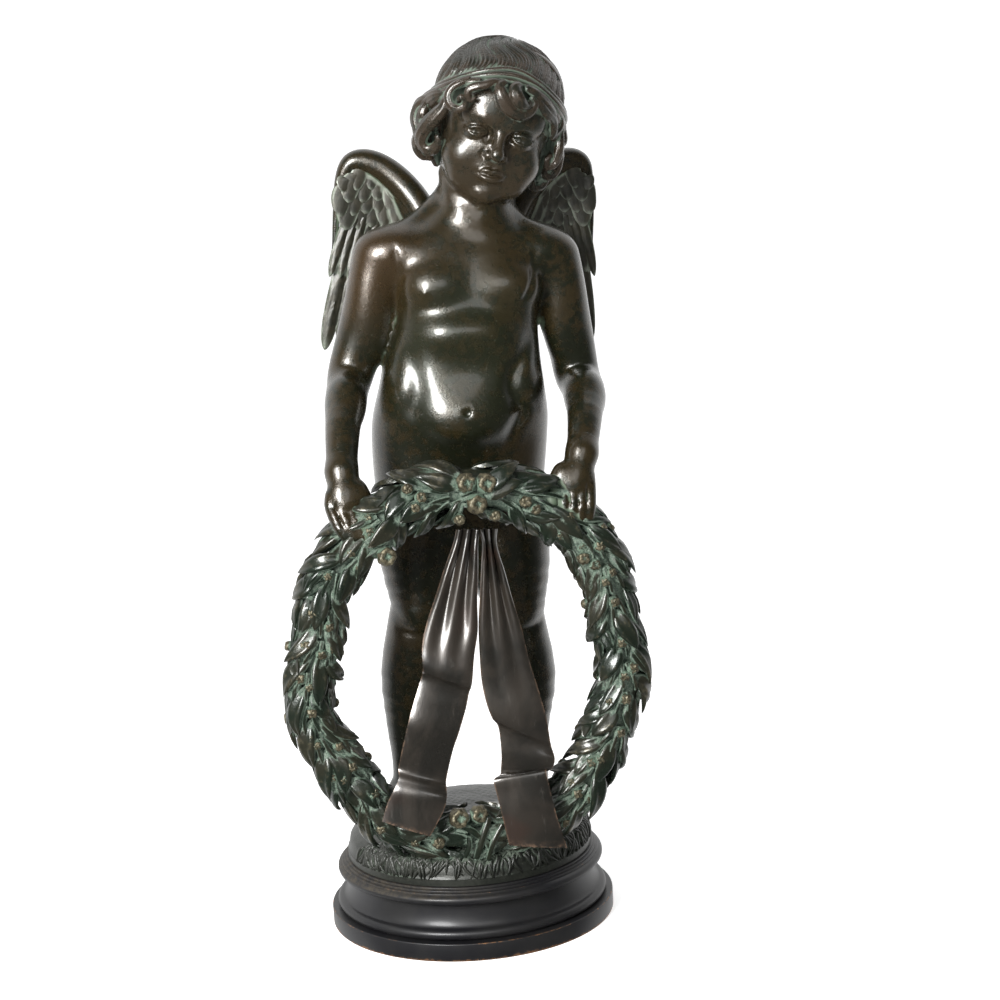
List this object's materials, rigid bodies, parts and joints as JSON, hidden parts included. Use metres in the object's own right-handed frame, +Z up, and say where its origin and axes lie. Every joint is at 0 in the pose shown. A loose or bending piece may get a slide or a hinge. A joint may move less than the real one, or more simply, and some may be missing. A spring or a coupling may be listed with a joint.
{
  "type": "cherub statue",
  "caption": "dark bronze statue of a winged child who stands on a grassy mound and holds an upright laurel wreath with ribbon tails, on a round turned socle",
  "frame": {"origin": "the middle of the socle's flat underside", "axes": "+Z up, the figure looks along -Y, +X to the viewer's right"},
  "size_m": [0.2713, 0.2161, 0.6606],
  "materials": {
    "black_satin": "near-black satin patina, rubbed to brown on the edges",
    "dark_bronze": "very dark olive-brown waxed bronze, glossy",
    "verdigris_bronze": "dark bronze with pale green verdigris in the hollows",
    "brown_sheet_bronze": "brown satin bronze with coppery edges"
  },
  "bodies": {
    "root": {"socle": "black_satin", "cherub": "dark_bronze", "laurel_wreath": "verdigris_bronze", "ribbon_tail_left": "brown_sheet_bronze", "ribbon_tail_right": "brown_sheet_bronze"}
  },
  "joints": []
}
